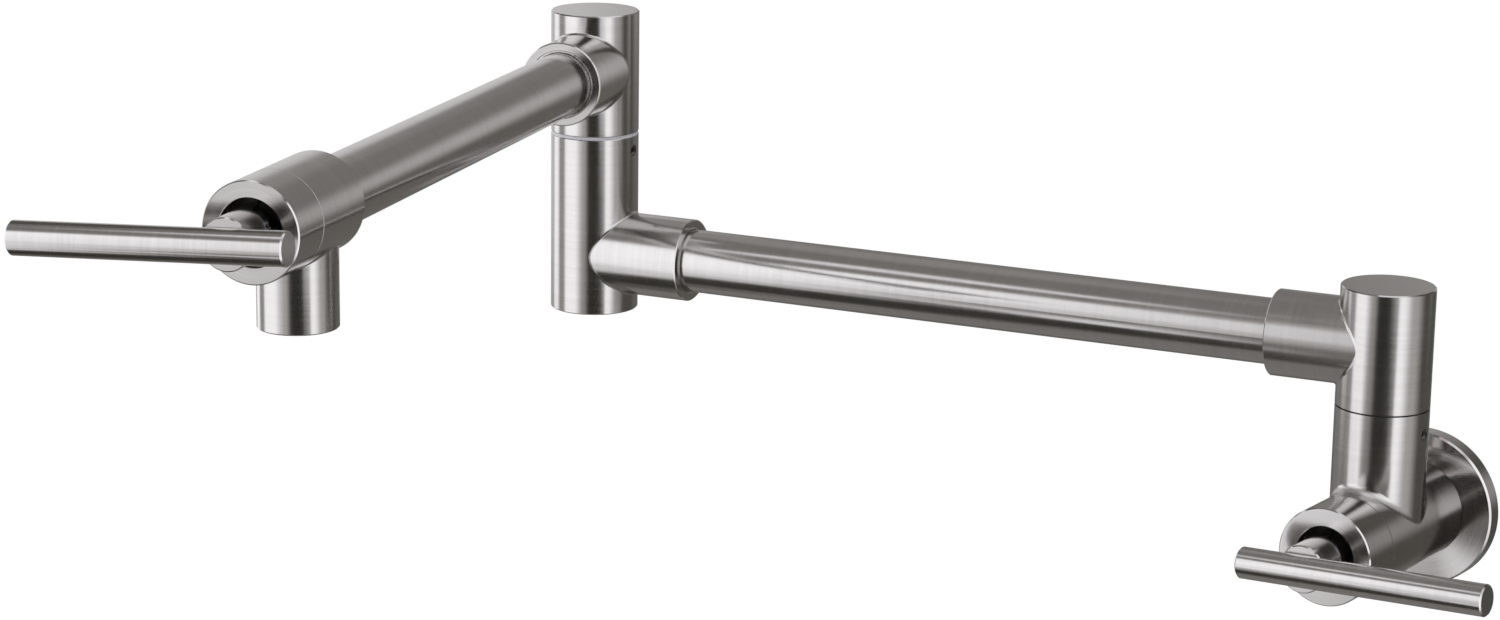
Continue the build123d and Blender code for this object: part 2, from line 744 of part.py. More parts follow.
for arm, head in heads.items():
    foot = head["foot"]
    profile = turning_plane(lift(foot, head["bottom"]), UP)
    height = head["top"] - head["bottom"]
    arm_rise = head["arm_z"] - head["bottom"]
    drop = head["bottom"] - head["sleeve_top"]
    grub_drop = drop + head["sleeve_grub_depth"]

    with BuildPart() as arm_head:
        with BuildSketch(profile):
            with BuildLine():
                Polyline(
                    (0, spigot_thread_r + fit_gap),
                    (0, column_r - edge_bevel / 2),
                    (edge_bevel / 2, column_r),
                    (height - edge_bevel, column_r),
                    (height, column_r - edge_bevel),
                    (height, 0),
                    (arm_rise + bore_beyond_arm, 0),
                    (arm_rise + bore_beyond_arm, head_bore_r),
                    (spigot_thread_length + fit_gap, head_bore_r),
                    (spigot_thread_length + fit_gap, spigot_thread_r + fit_gap),
                    close=True,
                )
            make_face()
        revolve(axis=Axis(lift(foot, head["bottom"]), UP))
        with BuildSketch(Plane(origin=lift(foot, head["arm_z"]), z_dir=head["along"])):
            Circle(tube_bore_r)
        extrude(amount=2 * column_r, mode=Mode.SUBTRACT)
    save(arm_head, f"{arm}_arm_head")

    with BuildPart() as spigot:
        with BuildSketch(profile):
            with BuildLine():
                Polyline(
                    (-spigot_length, swivel_bore_r),
                    (-spigot_length, spigot_r - edge_bevel),
                    (edge_bevel - spigot_length, spigot_r),
                    (0, spigot_r),
                    (0, spigot_thread_r),
                    (spigot_thread_length, spigot_thread_r),
                    (spigot_thread_length, swivel_bore_r),
                    close=True,
                )
            make_face()
            with Locations(*[(-depth, spigot_r) for depth in swivel_oring_depths]):
                Rectangle(oring_groove_width, 2 * oring_section, mode=Mode.SUBTRACT)
            with Locations((-grub_drop, spigot_r)):
                Rectangle(grub_groove_width, 2 * grub_groove_depth, mode=Mode.SUBTRACT)
        revolve(axis=Axis(lift(foot, head["bottom"]), UP))
    save(spigot, f"{head['swivel']}_swivel_spigot")

    with BuildPart() as spigot_orings:
        ring_r = spigot_r + running_gap / 2 - oring_section / 2
        with BuildSketch(profile):
            with Locations(*[(-depth, ring_r) for depth in swivel_oring_depths]):
                Circle(oring_section / 2)
        revolve(axis=Axis(lift(foot, head["bottom"]), UP))
    save(spigot_orings, f"{head['swivel']}_swivel_orings")

    # Two grub screws reach through the sleeve into the spigot's groove and keep it from lifting
    with BuildPart() as swivel_grubs:
        grub_centre = lift(foot, head["sleeve_top"] - head["sleeve_grub_depth"])
        for side in (1, -1):
            outward = head["grub_along"] * side
            outer_end = Plane(origin=grub_centre + outward * (column_r - grub_recess), z_dir=outward)
            with BuildSketch(outer_end):
                Circle(grub_r)
            extrude(amount=grub_tip_length - grub_length)
            with BuildSketch(outer_end.offset(grub_tip_length - grub_length)):
                Circle(grub_tip_r)
            extrude(amount=-grub_tip_length)
            with BuildSketch(outer_end):
                RegularPolygon(grub_socket_flats / 2, 6, major_radius=False)
            extrude(amount=-grub_socket_depth, mode=Mode.SUBTRACT)
    save(swivel_grubs, f"{head['swivel']}_swivel_grubs")

with BuildPart() as wall_swivel_washer:
    washer_plane = Plane(origin=lift(wall_column, wall_column_height - wall_washer_recess))
    with BuildSketch(washer_plane):
        Circle(wall_washer_r)
        Circle(spigot_r + washer_bore_gap, mode=Mode.SUBTRACT)
    extrude(amount=wall_washer_recess + wall_seam - washer_gap)
save(wall_swivel_washer, "wall_swivel_washer")

with BuildPart() as elbow_swivel_washer:
    with BuildSketch(Plane(origin=lift(elbow, elbow_top))):
        Circle(column_r - edge_bevel / 2)
        Circle(spigot_r + washer_bore_gap, mode=Mode.SUBTRACT)
    extrude(amount=elbow_washer_thick)
save(elbow_swivel_washer, "elbow_swivel_washer")

with BuildPart() as elbow_sleeve:
    with BuildSketch(turning_plane(lift(elbow, elbow_bottom), UP)):
        sleeve_height = elbow_top - elbow_bottom
        bearing_floor = sleeve_height - bearing_depth
        with BuildLine():
            Polyline(
                (0, 0),
                (0, column_r - edge_bevel),
                (edge_bevel, column_r),
                (sleeve_height - edge_bevel / 2, column_r),
                (sleeve_height, column_r - edge_bevel / 2),
                (sleeve_height, bearing_r),
                (bearing_floor, bearing_r),
                (bearing_floor, elbow_bore_r),
                (elbow_below_arm - bore_beyond_arm, elbow_bore_r),
                (elbow_below_arm - bore_beyond_arm, 0),
                close=True,
            )
        make_face()
    revolve(axis=Axis(lift(elbow, elbow_bottom), UP))
    with BuildSketch(Plane(origin=lift(elbow, inner_arm_z), z_dir=inner_along * -1)):
        Circle(tube_bore_r)
    extrude(amount=2 * column_r, mode=Mode.SUBTRACT)
    with BuildSketch(Plane(origin=lift(elbow, elbow_top - elbow_grub_depth), z_dir=inner_along)):
        Circle(grub_seat_r)
    extrude(amount=2 * column_r, both=True, mode=Mode.SUBTRACT)
save(elbow_sleeve, "elbow_sleeve")

# ---- Arm sockets and tubes ----------------------------------------------------------------------

# For each socket: its node, the column's place in plan, the arm's height, the way out of the
# column, its radius and its reach
sockets = [
    ("inner_arm_socket", wall_column, inner_arm_z, inner_along, inner_socket_r, wall_end_reach),
    ("elbow_socket", elbow, inner_arm_z, inner_along * -1, inner_socket_r, elbow_end_reach),
    ("outer_arm_socket", elbow, outer_arm_z, outer_along, outer_socket_r, outer_reach),
]
for node, foot, arm_z, along, socket_r, reach in sockets:
    with BuildPart() as socket:
        start = lift(foot, arm_z)
        profile = turning_plane(start, along)
        tube_stop = reach - socket_depth
        with BuildSketch(profile):
            with BuildLine():
                Polyline(
                    (0, tube_bore_r),
                    (0, socket_r),
                    (reach - edge_bevel, socket_r),
                    (reach, socket_r - edge_bevel),
                    (reach, socket_bore_r + socket_mouth),
                    (reach - socket_mouth, socket_bore_r),
                    (tube_stop, socket_bore_r),
                    (tube_stop, tube_bore_r),
                    close=True,
                )
            make_face()
        revolve(axis=Axis(start, along))
        with BuildSketch(Plane(origin=lift(foot, arm_z - 2 * socket_r))):
            Circle(column_r + fit_gap)
        extrude(amount=4 * socket_r, mode=Mode.SUBTRACT)
    save(socket, node)

# For each tube: its node, where it starts in plan, its height and direction, and both ends
tubes = [
    (
        "inner_arm_tube",
        wall_column,
        inner_arm_z,
        inner_along,
        wall_end_reach - socket_depth,
        inner_arm_length - elbow_end_reach + socket_depth,
    ),
    (
        "outer_arm_tube",
        elbow,
        outer_arm_z,
        outer_along,
        outer_reach - socket_depth,
        outer_arm_length - spout_tube_stop + spout_cap_reach,
    ),
]
for node, foot, arm_z, along, near_end, far_end in tubes:
    with BuildPart() as tube:
        with BuildSketch(Plane(origin=lift(foot, arm_z) + along * near_end, z_dir=along)):
            Circle(tube_r)
            Circle(tube_bore_r, mode=Mode.SUBTRACT)
        extrude(amount=far_end - near_end)
    save(tube, node)

# ---- Lock screw under the wall body -------------------------------------------------------------

with BuildPart() as adapter_lock_screw:
    lock_outer = Plane(origin=(0, -lock_screw_depth, grub_recess - wall_body_r), z_dir=(0, 0, -1))
    lock_length = wall_body_r - grub_recess - adapter_r + lock_groove_depth_in - fit_gap
    with BuildSketch(lock_outer):
        Circle(grub_r)
    extrude(amount=-lock_length)
    with BuildSketch(lock_outer):
        RegularPolygon(grub_socket_flats / 2, 6, major_radius=False)
    extrude(amount=-grub_socket_depth, mode=Mode.SUBTRACT)
save(adapter_lock_screw, "adapter_lock_screw")

# ---- Spout: the tube below the outlet valve and the aerator in its mouth ------------------------

with BuildPart() as spout_tube:
    with BuildSketch(turning_plane(lift(outlet, spout_bottom), UP)):
        with BuildLine():
            Polyline(
                (0, aerator_r + fit_gap),
                (0, spout_r - edge_bevel),
                (edge_bevel, spout_r),
                (spout_length, spout_r),
                (spout_length, spout_bore_r),
                (aerator_thread_length, spout_bore_r),
                (aerator_thread_length, aerator_r + fit_gap),
                close=True,
            )
        make_face()
    revolve(axis=Axis(lift(outlet, spout_bottom), UP))
    across = lift(outlet, outer_arm_z) - outer_along * 2 * spout_body_r
    with BuildSketch(Plane(origin=across, z_dir=outer_along)):
        Circle(spout_body_r + fit_gap)
    extrude(amount=4 * spout_body_r, mode=Mode.SUBTRACT)
save(spout_tube, "spout_tube")

aerator_bottom = spout_bottom + aerator_recess
aerator_bore_r = aerator_r - aerator_wall

with BuildPart() as aerator_housing:
    with BuildSketch(turning_plane(lift(outlet, aerator_bottom), UP)):
        with BuildLine():
            Polyline(
                (0, aerator_bore_r - aerator_lip),
                (0, aerator_r - edge_bevel),
                (edge_bevel, aerator_r),
                (aerator_length, aerator_r),
                (aerator_length, aerator_bore_r),
                (aerator_lip, aerator_bore_r),
                (aerator_lip, aerator_bore_r - aerator_lip),
                close=True,
            )
        make_face()
    revolve(axis=Axis(lift(outlet, aerator_bottom), UP))
save(aerator_housing, "aerator_housing")

with BuildPart() as aerator_screen:
    with BuildSketch(Plane(origin=lift(outlet, aerator_bottom + aerator_lip))):
        Circle(aerator_bore_r - fit_gap)
        with HexLocations(screen_hole_pitch / 2, 7, 7, major_radius=False):
            Circle(screen_hole_r, mode=Mode.SUBTRACT)
    extrude(amount=screen_thick)
save(aerator_screen, "aerator_screen")

with BuildPart() as aerator_washer:
    with BuildSketch(Plane(origin=lift(outlet, aerator_bottom + aerator_length))):
        Circle(aerator_r)
        Circle(aerator_r - aerator_washer_width, mode=Mode.SUBTRACT)
    extrude(amount=aerator_washer_thick)
save(aerator_washer, "aerator_washer")
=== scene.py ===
import bpy
import numpy as np
from mathutils import Matrix, Vector


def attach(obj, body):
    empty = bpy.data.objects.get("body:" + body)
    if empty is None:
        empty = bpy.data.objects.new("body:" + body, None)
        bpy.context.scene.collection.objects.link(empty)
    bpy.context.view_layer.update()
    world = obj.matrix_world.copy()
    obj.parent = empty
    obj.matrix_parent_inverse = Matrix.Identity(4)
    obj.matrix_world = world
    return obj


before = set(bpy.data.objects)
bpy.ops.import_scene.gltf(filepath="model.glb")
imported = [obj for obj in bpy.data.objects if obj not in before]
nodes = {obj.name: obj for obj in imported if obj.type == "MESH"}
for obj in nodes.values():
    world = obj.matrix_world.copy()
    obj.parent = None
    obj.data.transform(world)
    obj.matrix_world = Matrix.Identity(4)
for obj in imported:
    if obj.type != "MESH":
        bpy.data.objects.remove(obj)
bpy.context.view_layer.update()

# ---- Camera -------------------------------------------------------------------------------------
# The photograph was taken with a long lens from the right and a little above, at about 1.3 m. The
# place and turn come from fitting the tap's own cylinders to the photograph. Lengths are in metres.
camera_data = bpy.data.cameras.new("camera")
camera_data.lens = 93.04
camera_data.sensor_width = 36.0
camera_data.clip_start = 0.05
camera_data.clip_end = 50.0
camera = bpy.data.objects.new("camera", camera_data)
bpy.context.scene.collection.objects.link(camera)
camera_place = Vector((0.540541, -1.201347, 0.386941))
camera_right = Vector((0.82153057, 0.57000092, 0.0136555))
camera_up = Vector((-0.14794524, 0.18997833, 0.97057737))
camera_back = Vector((0.55063575, -0.79937925, 0.24040193))
camera_turn = Matrix((camera_right, camera_up, camera_back)).transposed().to_4x4()
camera.matrix_world = Matrix.Translation(camera_place) @ camera_turn
bpy.context.scene.camera = camera

# ---- Studio -------------------------------------------------------------------------------------
# A white floor far below the tap, soft boxes at the front left, at the right and above, and a tent
# of grey cloth that only the metal sees, because brushed metal shows whatever stands round it.
tent_centre = np.array([-0.15, -0.20, 0.08])
tent_radius = 0.95
tent_grey = 0.23


def soft_step(value, edge, softness):
    """0 below the edge and 1 above it, with a smooth rise that is softness wide on each side: three
    times the square of the way up, less twice its cube."""
    t = np.clip((value - edge) / (2 * softness) + 0.5, 0, 1)
    return t * t * (3 - 2 * t)


def patch(azimuth, elevation, left, right, low, high, soft_left, soft_right, soft_end):
    """1 inside a window of the tent and 0 outside it, the product of four soft steps, in degrees.
    left may be larger than right, where the window crosses 180 degrees."""
    half = ((right - left) % 360) / 2
    off = (azimuth - left - half + 180) % 360 - 180
    across = soft_step(off, -half, soft_left) * (1 - soft_step(off, half, soft_right))
    return across * soft_step(elevation, low, soft_end) * (1 - soft_step(elevation, high, soft_end))


def tent_brightness(azimuth, elevation):
    """Brightness of the tent's cloth by direction: azimuth 0 is towards the wall, 90 to the right.
    A plain grey, less what stands in its way, plus the windows that the soft boxes shine through.
    Each row gives how much, then the left, right, lower and upper edges and the softness of the
    left, the right and the upper and lower edges, in degrees."""
    light = np.full(azimuth.shape, tent_grey)
    for share, *window in (
        (0.85, 124, 170, -60, 70, 5, 8, 10),     # dark gap between the boxes
        (0.60, 12, 60, -70, 50, 10, 12, 10),     # right of the wall
        (0.35, -45, 15, -45, -6, 12, 12, 6),     # under the wall's left
        (0.80, -178, -100, -70, -26, 8, 12, 6),  # under the front
        (0.60, -98, -58, 30, 52, 8, 8, 5),       # over the left side
        (0.50, -110, -72, -62, -40, 8, 8, 5),    # and under it
    ):
        light = light * (1 - share * patch(azimuth, elevation, *window))
    for amount, *window in (
        (1.14, -166, -121, -21, 36, 13, 4, 5),   # large box at the front left
        (0.35, 175, -160, -1, 34, 6, 10, 5),     # its right end
        (0.34, 172, -168, -15, 44, 6, 6, 10),    # its edge, towards the dark gap
        (0.85, -154, -122, -44, -21, 4, 6, 4),   # its lower end
        (0.75, -163, -152, -35, -21, 3, 3, 3),   # and the corner beside it
        (1.05, -174, -164, -42, -30, 3, 2, 2),   # and its foot
        (0.85, -162, -124, 53, 62, 8, 6, 3),     # its upper edge
        (1.10, 92, 114, -45, 45, 13, 3, 10),     # box at the right
        (1.00, 114, 133, -10, 42, 3, 3, 3),      # its taller part
        (0.26, 62, 96, -40, 40, 12, 12, 12),     # and its spill
        (1.10, -100, -78, -17, 32, 5, 5, 5),     # card at the left
        (0.12, -121, -104, -30, 30, 4, 4, 8),    # between the card and the large box
        (0.75, 12, 172, 50, 100, 12, 12, 6),     # box over the right side
        (0.30, 50, 86, 22, 46, 8, 6, 6),         # and its lower end
        (0.45, -74, -38, -13, 24, 7, 5, 5),      # back left
        (0.10, -60, -25, 28, 62, 10, 10, 10),    # above it
        (0.30, -10, 17, -2, 15, 10, 9, 7),       # bright strip at the back
        (0.25, 27, 39, -8, 8, 5, 6, 6),          # and its right end, lower
    ):
        light = light + amount * patch(azimuth, elevation, *window)
    return light


# The tent is a sphere with a point every half degree: its centre + its radius times (sin azimuth
# cos elevation, cos azimuth cos elevation, sin elevation)
steps_round, steps_up = 720, 360
u, v = np.meshgrid(np.arange(steps_round), np.arange(steps_up + 1))
azimuth = u * 360.0 / steps_round - 180
elevation = v * 180.0 / steps_up - 90
points = tent_centre + tent_radius * np.stack(
    [
        np.sin(np.radians(azimuth)) * np.cos(np.radians(elevation)),
        np.cos(np.radians(azimuth)) * np.cos(np.radians(elevation)),
        np.sin(np.radians(elevation)),
    ],
    axis=-1,
)
here = v[:-1] * steps_round + u[:-1]
beside = v[:-1] * steps_round + (u[:-1] + 1) % steps_round
faces = np.stack([here, beside, beside + steps_round, here + steps_round], axis=-1)
tent_mesh = bpy.data.meshes.new("grey_tent")
tent_mesh.from_pydata(points.reshape(-1, 3), [], faces.reshape(-1, 4))
glow = tent_mesh.attributes.new("glow", "FLOAT", "POINT")
glow.data.foreach_set("value", tent_brightness(azimuth, elevation).astype(np.float32).ravel())
tent = bpy.data.objects.new("grey_tent", tent_mesh)
bpy.context.scene.collection.objects.link(tent)
tent.visible_camera = False
tent.visible_diffuse = False
tent.visible_transmission = False
tent.visible_shadow = False


def new_material(name):
    """An empty material: the material, its node tree and its output node."""
    material = bpy.data.materials.new(name)
    material.use_nodes = True
    material.node_tree.nodes.clear()
    return material, material.node_tree, material.node_tree.nodes.new("ShaderNodeOutputMaterial")


def step(tree, kind, *inputs, take=None, **settings):
    """One step of a node tree. Its inputs are plain values or earlier steps' outputs, in the order
    of the node's sockets, with None where a socket keeps its value. The result is one output."""
    node = tree.nodes.new("ShaderNode" + kind)
    for key, value in settings.items():
        setattr(node, key, value)
    for socket, value in zip(node.inputs, inputs):
        if isinstance(value, bpy.types.NodeSocket):
            tree.links.new(value, socket)
        elif value is not None:
            socket.default_value = value
    if take:
        return node.outputs[take]
    return next(socket for socket in node.outputs if socket.enabled)


def tint(tree, factor, *stops):
    """A colour that goes through these stops, each a place between 0 and 1 and its colour."""
    node = tree.nodes.new("ShaderNodeValToRGB")
    ramp = node.color_ramp
    while len(ramp.elements) < len(stops):
        ramp.elements.new(0.5)
    for element, (place, colour) in zip(ramp.elements, stops):
        element.position = place
        element.color = (*colour, 1)
    tree.links.new(factor, node.inputs[0])
    return node.outputs["Color"]


def white_to_the_eye(tree):
    """1 for rays from the camera and for those that metal and glass send on, and 0 for the rest."""
    node = tree.nodes.new("ShaderNodeLightPath")
    seen = step(
        tree, "Math", node.outputs["Is Camera Ray"], node.outputs["Is Glossy Ray"],
        operation="MAXIMUM",
    )
    return step(tree, "Math", seen, node.outputs["Is Transmission Ray"], operation="MAXIMUM")


# The cloth is a little yellow in the dark and a little blue where it is lit
cloth, tree, end = new_material("tent_cloth")
brightness = step(tree, "Attribute", attribute_name="glow", take="Fac")
shade = tint(
    tree, brightness,
    (0.0, (1.05, 1.0, 0.84)), (0.25, (1.03, 1.0, 0.97)), (1.0, (0.99, 1.0, 1.03)),
)
shine = step(tree, "Emission", shade, brightness)
tree.links.new(shine, end.inputs["Surface"])
cloth.cycles.emission_sampling = "NONE"
tent_mesh.materials.append(cloth)

floor_drop = 1.1
floor_half = 6.0
floor_grey = (0.86, 0.86, 0.86, 1)
floor_glow = 0.62   # brings the lit floor up to white, for the rays that show it
floor_mesh = bpy.data.meshes.new("floor")
floor_mesh.from_pydata(
    [
        (side * floor_half, depth * floor_half, -floor_drop)
        for side, depth in ((-1, -1), (1, -1), (1, 1), (-1, 1))
    ],
    [],
    [(0, 1, 2, 3)],
)
floor = bpy.data.objects.new("floor", floor_mesh)
bpy.context.scene.collection.objects.link(floor)
paint, tree, end = new_material("floor_paint")
matt = step(tree, "BsdfDiffuse", floor_grey)
lit = step(
    tree, "Emission", (1, 1, 1, 1),
    step(tree, "Math", white_to_the_eye(tree), floor_glow, operation="MULTIPLY"),
)
shown = step(tree, "AddShader", matt, lit)
hidden = step(tree, "BsdfTransparent")
below = step(tree, "NewGeometry", take="Backfacing")
both = step(tree, "MixShader", below, shown, hidden)
tree.links.new(both, end.inputs["Surface"])
floor_mesh.materials.append(paint)

# Soft boxes: where each hangs, how large it is and how strong
for name, place, size, watts in (
    ("front_left_box", (-0.95, -1.05, 0.55), 0.9, 7.0),
    ("right_box", (0.95, -0.45, 0.35), 0.5, 2.5),
    ("top_box", (-0.15, -0.35, 1.25), 0.9, 3.5),
):
    lamp_data = bpy.data.lights.new(name, "AREA")
    lamp_data.shape = "SQUARE"
    lamp_data.size = size
    lamp_data.energy = watts
    lamp = bpy.data.objects.new(name, lamp_data)
    lamp.location = place
    aim = Vector(tent_centre) - Vector(place)
    lamp.rotation_euler = aim.to_track_quat("-Z", "Y").to_euler()
    lamp.visible_glossy = False
    lamp.visible_camera = False
    bpy.context.scene.collection.objects.link(lamp)

room_light = 0.45   # for the rays that light the tap, while the eye sees white
world = bpy.data.worlds.new("studio")
bpy.context.scene.world = world
world.use_nodes = True
tree = world.node_tree
tree.nodes.clear()
end = tree.nodes.new("ShaderNodeOutputWorld")
strength = step(tree, "MapRange", white_to_the_eye(tree), 0.0, 1.0, room_light, 1.0)
tree.links.new(step(tree, "Background", (1, 1, 1, 1), strength), end.inputs["Surface"])
bpy.context.scene.view_settings.view_transform = "Standard"

# ---- Wall bracket -------------------------------------------------------------------------------
# A ring stamped from plain steel sheet, held to the wall by two screws under the flange. The punch
# and the rollers leave a fine straight grain, and the edges are brighter where the zinc is rubbed.
wall_column = (0.0, -0.0395, 0.0)
along_the_wall = (1.0, 0.0, 0.0)


def grooves(tree, place, at, along):
    """The point that a turned surface's noise is looked up at: slow across the axis that passes
    through at along this direction, and quick along it and outwards, so that the grooves run round
    the piece, and in rings on its ends. The quick part is the length plus a share of the radius, so
    that it moves on along a bevel too."""
    quick_scale, slow_scale, radius_share = 2600.0, 38.0, 0.83
    rel = step(tree, "VectorMath", place, at, operation="SUBTRACT")
    length = step(tree, "VectorMath", rel, along, operation="DOT_PRODUCT", take="Value")
    shadow = step(tree, "VectorMath", along, None, None, length, operation="SCALE")
    outward = step(tree, "VectorMath", rel, shadow, operation="SUBTRACT")
    radius = step(tree, "VectorMath", outward, operation="LENGTH", take="Value")
    across = step(tree, "Math", radius, radius_share, length, operation="MULTIPLY_ADD")
    quick = step(tree, "Math", across, quick_scale, operation="MULTIPLY")
    fine = step(tree, "VectorMath", along, None, None, quick, operation="SCALE")
    slow = step(tree, "VectorMath", outward, None, None, slow_scale, operation="SCALE")
    return step(tree, "VectorMath", fine, slow, operation="ADD")


def groove_noise(tree, point):
    """Two noises looked up at this point: the fine grooves, and bands about six times as wide."""
    narrowed = 0.16
    fine = step(tree, "TexNoise", point, None, 1.0, 4.0, 0.62)
    wide_point = step(tree, "VectorMath", point, None, None, narrowed, operation="SCALE")
    return fine, step(tree, "TexNoise", wide_point, None, 1.0, 2.0, 0.5)


def bevel_mask(tree, along):
    """1 on the faces that lie askew to this axis, as a turned piece's bevelled edges do."""
    normal = step(tree, "TexCoord", take="Normal")
    lean = step(tree, "VectorMath", normal, along, operation="DOT_PRODUCT", take="Value")
    lean = step(tree, "Math", lean, operation="ABSOLUTE")
    up = step(tree, "MapRange", lean, 0.2, 0.5, 0.0, 1.0, interpolation_type="SMOOTHSTEP")
    down = step(tree, "MapRange", lean, 0.82, 0.96, 1.0, 0.0, interpolation_type="SMOOTHSTEP")
    return step(tree, "Math", up, down, operation="MULTIPLY")


def seam_line(tree, place, at, along, where):
    """1 in a line about 0.4 mm wide round the piece, this far from at along its axis, and 0
    elsewhere."""
    rel = step(tree, "VectorMath", place, at, operation="SUBTRACT")
    length = step(tree, "VectorMath", rel, along, operation="DOT_PRODUCT", take="Value")
    off = step(tree, "Math", length, where, operation="SUBTRACT")
    off = step(tree, "Math", off, operation="ABSOLUTE")
    return step(tree, "MapRange", off, 0.00012, 0.00026, 1.0, 0.0)


def metal_surface(name, grain, edges, dark, light, polish, dull, seam=None, weld=None):
    """A turned or brushed metal. grain gives the two groove noises from the tree and the place,
    edges gives the mask of its rubbed edges, seam that of a seam, whose line is darkened as painted
    shade and made rougher, and weld that of a weld dressed with emery, which is duller.
    Fine grooves, wider bands and soft blotches of handling set the colour between dark and light
    and the roughness between polish and dull. The grooves also stand in the bump."""
    # The first colour is the painted shade that a seam's line is darkened to
    seam_shade_colour, groove_depth, blotches = (0.12, 0.11, 0.10), 0.0000025, 55.0
    material, tree, end = new_material(name)
    place = step(tree, "TexCoord", take="Object")
    fine, wide = grain(tree, place)
    worn = edges(tree)
    blotch = step(tree, "TexNoise", place, None, blotches, 3.0, 0.55)
    wide = step(tree, "Math", wide, 0.45, operation="MULTIPLY")
    mixed = step(tree, "Math", fine, 0.55, wide, operation="MULTIPLY_ADD")
    streak = step(tree, "MapRange", mixed, 0.32, 0.68, 0.0, 1.0)
    soft = step(tree, "MapRange", blotch, 0.3, 0.7, -0.12, 0.12)
    shade = step(tree, "Math", streak, soft, operation="ADD", use_clamp=True)
    shade = step(tree, "Math", worn, 0.3, shade, operation="MULTIPLY_ADD", use_clamp=True)
    shade = step(tree, "Math", shade, 0.8, 0.2, operation="MULTIPLY_ADD")
    # A seam's line is darkened towards that colour as painted shade, and is also made rougher
    seam_shade = seam(tree, place) if seam else 0.0
    shade = step(tree, "Math", seam_shade, -0.8, shade, operation="MULTIPLY_ADD", use_clamp=True)
    ends = (0.0, seam_shade_colour), (0.2, dark), (1.0, light)
    shader = tree.nodes.new("ShaderNodeBsdfPrincipled")
    tree.links.new(tint(tree, shade, *ends), shader.inputs["Base Color"])
    shader.inputs["Metallic"].default_value = 1.0
    half_blotch = step(tree, "Math", blotch, 0.5, operation="MULTIPLY")
    rough = step(tree, "Math", fine, 0.5, half_blotch, operation="MULTIPLY_ADD")
    rough = step(tree, "MapRange", rough, 0.35, 0.65, polish, dull)
    rough = step(tree, "Math", worn, -0.05, rough, operation="MULTIPLY_ADD")
    rough = step(tree, "Math", seam_shade, 0.25, rough, operation="MULTIPLY_ADD")
    if weld:
        rough = step(tree, "Math", weld(tree, place), 0.17, rough, operation="MULTIPLY_ADD")
    tree.links.new(rough, shader.inputs["Roughness"])
    bump = tree.nodes.new("ShaderNodeBump")
    bump.inputs["Strength"].default_value = 1.0
    bump.inputs["Distance"].default_value = groove_depth
    tree.links.new(fine, bump.inputs["Height"])
    tree.links.new(bump.outputs[0], shader.inputs["Normal"])
    tree.links.new(shader.outputs[0], end.inputs["Surface"])
    return material


def turned(name, at, along, dark, light, polish, dull, seam_at=None):
    """metal_surface for a piece that was turned on the axis through at, along this direction.
    seam_at is how far along the axis from at its seam lies, if it has one."""
    return metal_surface(
        name,
        lambda tree, place: groove_noise(tree, grooves(tree, place, at, along)),
        lambda tree: bevel_mask(tree, along),
        dark, light, polish, dull,
        seam_at and (lambda tree, place: seam_line(tree, place, at, along, seam_at)),
    )


def cover(material, *names):
    """Give these CAD nodes this material."""
    for name in names:
        nodes[name].data.materials.clear()
        nodes[name].data.materials.append(material)


# A metal's finish: its dark and its light colour, how rough it is where polished, and where dull
zinc = ((0.42, 0.43, 0.44), (0.62, 0.63, 0.64), 0.30, 0.42)
cover(turned("stamped_steel", wall_column, along_the_wall, *zinc), "wall_bracket")

# ---- Inlet adapter, its rings and its lock screw ------------------------------------------------
# A brass bushing turned from bar, screwed on the supply pipe behind the wall. Two rubber rings seal
# it in the valve's body, and a black steel grub screw from below keeps the body on it.
wall_centre = (0.0, 0.0, 0.0)
towards_room = (0.0, -1.0, 0.0)
brass = ((0.32, 0.26, 0.18), (0.48, 0.40, 0.28), 0.16, 0.30)
cover(turned("turned_brass_inlet", wall_centre, towards_room, *brass), "inlet_adapter")


def soft_surface(name, dark, light, dull, specks, depth, **sockets):
    """A moulded or sintered piece, or a run of braze: its colour goes between dark and light with a
    coarse and a fine noise, which also set the roughness, round dull. The fine one stands in the
    bump, to this depth in metres. specks is how many of its specks there are in a metre, and
    sockets are plain values for the shader's own sockets."""
    rough_spread = 0.08
    material, tree, end = new_material(name)
    place = step(tree, "TexCoord", take="Object")
    coarse = step(tree, "TexNoise", place, None, specks / 12, 2.0, 0.5)
    fine = step(tree, "TexNoise", place, None, specks, 3.0, 0.6)
    coarse = step(tree, "Math", coarse, 0.5, operation="MULTIPLY")
    mixed = step(tree, "Math", fine, 0.5, coarse, operation="MULTIPLY_ADD")
    shade = step(tree, "MapRange", mixed, 0.35, 0.65, 0.0, 1.0)
    shader = tree.nodes.new("ShaderNodeBsdfPrincipled")
    tree.links.new(tint(tree, shade, (0.0, dark), (1.0, light)), shader.inputs["Base Color"])
    rough = step(tree, "MapRange", mixed, 0.3, 0.7, dull - rough_spread, dull + rough_spread)
    tree.links.new(rough, shader.inputs["Roughness"])
    for socket, value in sockets.items():
        shader.inputs[socket.replace("_", " ")].default_value = value
    bump = tree.nodes.new("ShaderNodeBump")
    bump.inputs["Strength"].default_value = 0.6
    bump.inputs["Distance"].default_value = depth
    tree.links.new(fine, bump.inputs["Height"])
    tree.links.new(bump.outputs[0], shader.inputs["Normal"])
    tree.links.new(shader.outputs[0], end.inputs["Surface"])
    return material


rubber = soft_surface(
    "black_rubber", (0.012, 0.012, 0.013), (0.035, 0.034, 0.034), 0.55, 4000.0, 0.00001
)
cover(rubber, "inlet_orings")
upwards = (0.0, 0.0, 1.0)
lock_screw = (0.0, -0.013, 0.0)
blackened = ((0.10, 0.10, 0.105), (0.22, 0.22, 0.225), 0.26, 0.40)
cover(turned("blackened_screw_down", lock_screw, upwards, *blackened), "adapter_lock_screw")

